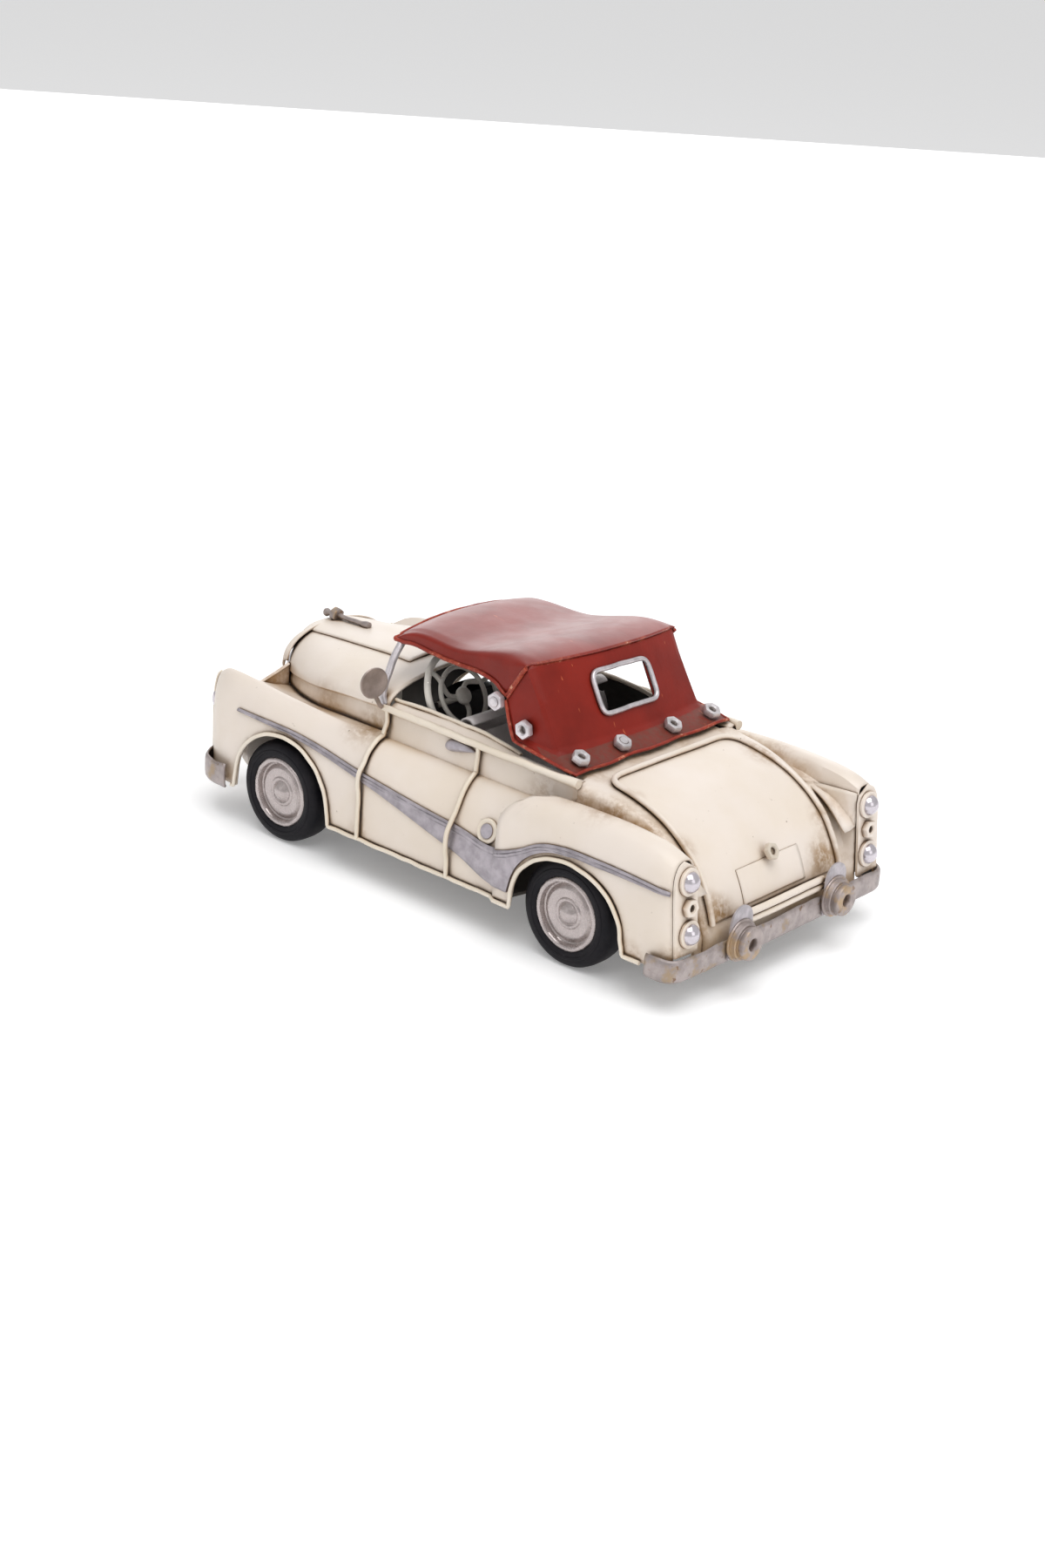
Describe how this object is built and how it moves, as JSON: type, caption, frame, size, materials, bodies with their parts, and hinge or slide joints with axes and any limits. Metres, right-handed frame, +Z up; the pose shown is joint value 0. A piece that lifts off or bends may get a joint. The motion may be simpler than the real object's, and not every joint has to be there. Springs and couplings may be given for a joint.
{
  "type": "friction tin car",
  "caption": "Hand-made tinplate convertible toy with its soft top up, soldered edge beads, spun tin wheels and a geared flywheel motor on the rear axle.",
  "frame": {"origin": "Under the middle of the car, on the surface its tyres stand on.", "axes": "+X is the front of the car, +Y is its left side and +Z is up."},
  "size_m": [0.1672, 0.0822, 0.063],
  "materials": {
    "cream_paint": "satin enamel with brown wash",
    "red_paint": "satin enamel, worn edges",
    "silver_paint": "brushed-on silver paint",
    "grey_paint": "satin",
    "overrider_brass": "brass fittings under thin silver paint",
    "tyre_rubber": "satin",
    "bright_steel": "plain",
    "gear_brass": "turned"
  },
  "bodies": {
    "body": {"bead_frame_left": "cream_paint", "bead_frame_right": "cream_paint", "body_side_left": "cream_paint", "body_side_right": "cream_paint", "boot_handle": "silver_paint", "boot_lid": "cream_paint", "dashboard": "grey_paint", "door_handle_left": "silver_paint", "door_handle_right": "silver_paint", "floor_pan": "cream_paint", "front_bumper": "silver_paint", "front_fender_left": "cream_paint", "front_fender_right": "cream_paint", "front_panel": "cream_paint", "front_seat": "grey_paint", "fuel_cap": "silver_paint", "grille": "silver_paint", "headlamp_left": "silver_paint", "headlamp_right": "silver_paint", "hood": "cream_paint", "hood_center_panel": "cream_paint", "hood_ornament": "silver_paint", "mirror": "silver_paint", "motor_frame": "bright_steel", "rear_bumper": "silver_paint", "rear_curtain": "red_paint", "rear_deck": "cream_paint", "rear_fender_left": "cream_paint", "rear_fender_right": "cream_paint", "rear_overrider_left": "overrider_brass", "rear_overrider_right": "overrider_brass", "rear_window_frame": "silver_paint", "side_nut_front_left": "silver_paint", "side_nut_front_right": "silver_paint", "side_nut_rear_left": "silver_paint", "side_nut_rear_right": "silver_paint", "side_spear_left": "silver_paint", "side_spear_right": "silver_paint", "skirt_nut_1": "silver_paint", "skirt_nut_2": "silver_paint", "skirt_nut_3": "silver_paint", "skirt_nut_4": "silver_paint", "soft_top_roof": "red_paint", "tail_lamp_panel_left": "silver_paint", "tail_lamp_panel_right": "silver_paint", "windscreen_frame": "silver_paint"},
    "front_wheelset": {"front_axle": "bright_steel", "tyre_front_left": "tyre_rubber", "tyre_front_right": "tyre_rubber", "wheel_front_left": "silver_paint", "wheel_front_right": "silver_paint"},
    "rear_wheelset": {"rear_axle": "bright_steel", "tyre_rear_left": "tyre_rubber", "tyre_rear_right": "tyre_rubber", "wheel_rear_left": "silver_paint", "wheel_rear_right": "silver_paint"},
    "layshaft_body": {"layshaft": "gear_brass"},
    "flywheel_body": {"flywheel": "gear_brass"},
    "steering_body": {"steering_wheel": "grey_paint"}
  },
  "joints": [
    {"name": "front_axle_spin", "type": "hinge", "parent": "body", "child": "front_wheelset", "pos_m": [0.0485, 0, 0.013], "axis": [0, 1, 0], "continuous": true},
    {"name": "rear_axle_spin", "type": "hinge", "parent": "body", "child": "rear_wheelset", "pos_m": [-0.0454, 0, 0.013], "axis": [0, 1, 0], "continuous": true},
    {"name": "layshaft_spin", "type": "hinge", "parent": "body", "child": "layshaft_body", "pos_m": [-0.04052, 0, 0.01996], "axis": [0, 1, 0], "continuous": true},
    {"name": "flywheel_spin", "type": "hinge", "parent": "body", "child": "flywheel_body", "pos_m": [-0.03215, 0, 0.02144], "axis": [0, 1, 0], "continuous": true},
    {"name": "steering_wheel_turn", "type": "hinge", "parent": "body", "child": "steering_body", "pos_m": [0.0114, 0.013, 0.0434], "axis": [0.866, 0, -0.5], "continuous": true}
  ],
  "couplings": [
    {"joint": "layshaft_spin", "follows": "rear_axle_spin", "ratio": -2},
    {"joint": "flywheel_spin", "follows": "rear_axle_spin", "ratio": 4}
  ]
}
